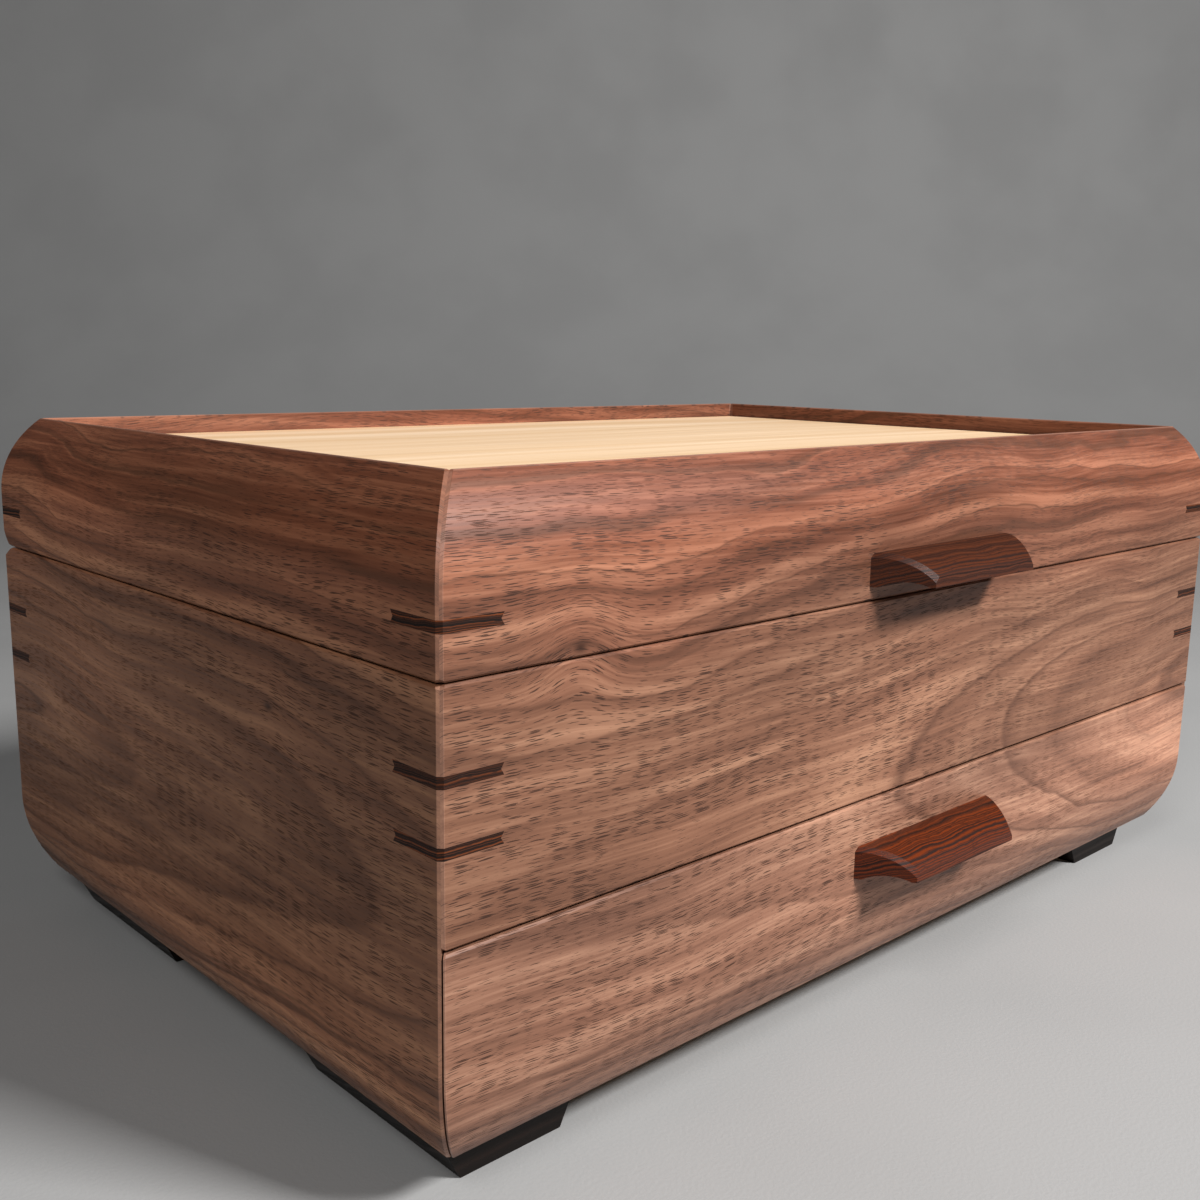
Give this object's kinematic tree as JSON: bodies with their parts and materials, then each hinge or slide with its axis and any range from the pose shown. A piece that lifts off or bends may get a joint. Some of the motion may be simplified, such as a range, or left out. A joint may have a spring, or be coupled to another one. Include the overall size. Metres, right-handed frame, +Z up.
{
  "type": "jewelry chest",
  "caption": "Wooden jewelry chest with a curved crown and belly, mitred corners keyed with dark splines, a hinged lid and a full-width drawer.",
  "frame": {"origin": "on the table, in the middle of the chest's width and of its whole depth with the pulls", "axes": "+X to the right along the chest's length, +Y to the back (hinges), +Z up"},
  "size_m": [0.406, 0.2904, 0.188],
  "materials": {
    "case_wood": "satin oiled reddish-brown hardwood",
    "panel_wood": "satin pale yellow hardwood",
    "spline_wood": "satin dark striped hardwood",
    "pull_wood": "satin dark striped hardwood",
    "foot_wood": "satin dark hardwood",
    "inner_wood": "satin pale hardwood",
    "plywood": "plain sealed plywood",
    "felt": "short wool felt",
    "brass": "satin brass"
  },
  "bodies": {
    "case": {"case_front": "case_wood", "case_back": "case_wood", "case_left": "case_wood", "case_right": "case_wood", "upper_case_splines": "spline_wood", "lower_case_splines": "spline_wood", "compartment_floor": "plywood", "bottom_panel": "plywood", "drawer_left_runner": "inner_wood", "drawer_right_runner": "inner_wood", "drawer_stop": "inner_wood", "stop_screw": "brass", "foot_front_left": "foot_wood", "foot_front_right": "foot_wood", "foot_back_left": "foot_wood", "foot_back_right": "foot_wood", "hinge_left_case_leaf": "brass", "hinge_right_case_leaf": "brass", "hinge_left_pin": "brass", "hinge_right_pin": "brass", "case_hinge_screws": "brass", "compartment_felt": "felt", "long_divider": "inner_wood", "cross_divider_1": "inner_wood", "cross_divider_2": "inner_wood", "cross_divider_3": "inner_wood"},
    "lid": {"lid_front": "case_wood", "lid_back": "case_wood", "lid_left": "case_wood", "lid_right": "case_wood", "lid_panel": "panel_wood", "lid_splines": "spline_wood", "lid_pull": "pull_wood", "hinge_left_lid_leaf": "brass", "hinge_right_lid_leaf": "brass", "lid_hinge_screws": "brass"},
    "drawer": {"drawer_front": "case_wood", "drawer_left_side": "inner_wood", "drawer_right_side": "inner_wood", "drawer_back": "inner_wood", "drawer_bottom": "plywood", "drawer_pull": "pull_wood", "drawer_felt": "felt"}
  },
  "joints": [
    {"name": "lid", "type": "hinge", "parent": "case", "child": "lid", "pos_m": [0, 0.14265, 0.14075], "axis": [-1, 0, 0], "range_deg": [0, 95]},
    {"name": "drawer", "type": "slide", "parent": "case", "child": "drawer", "axis": [0, -1, 0], "range_m": [0, 0.18]}
  ]
}
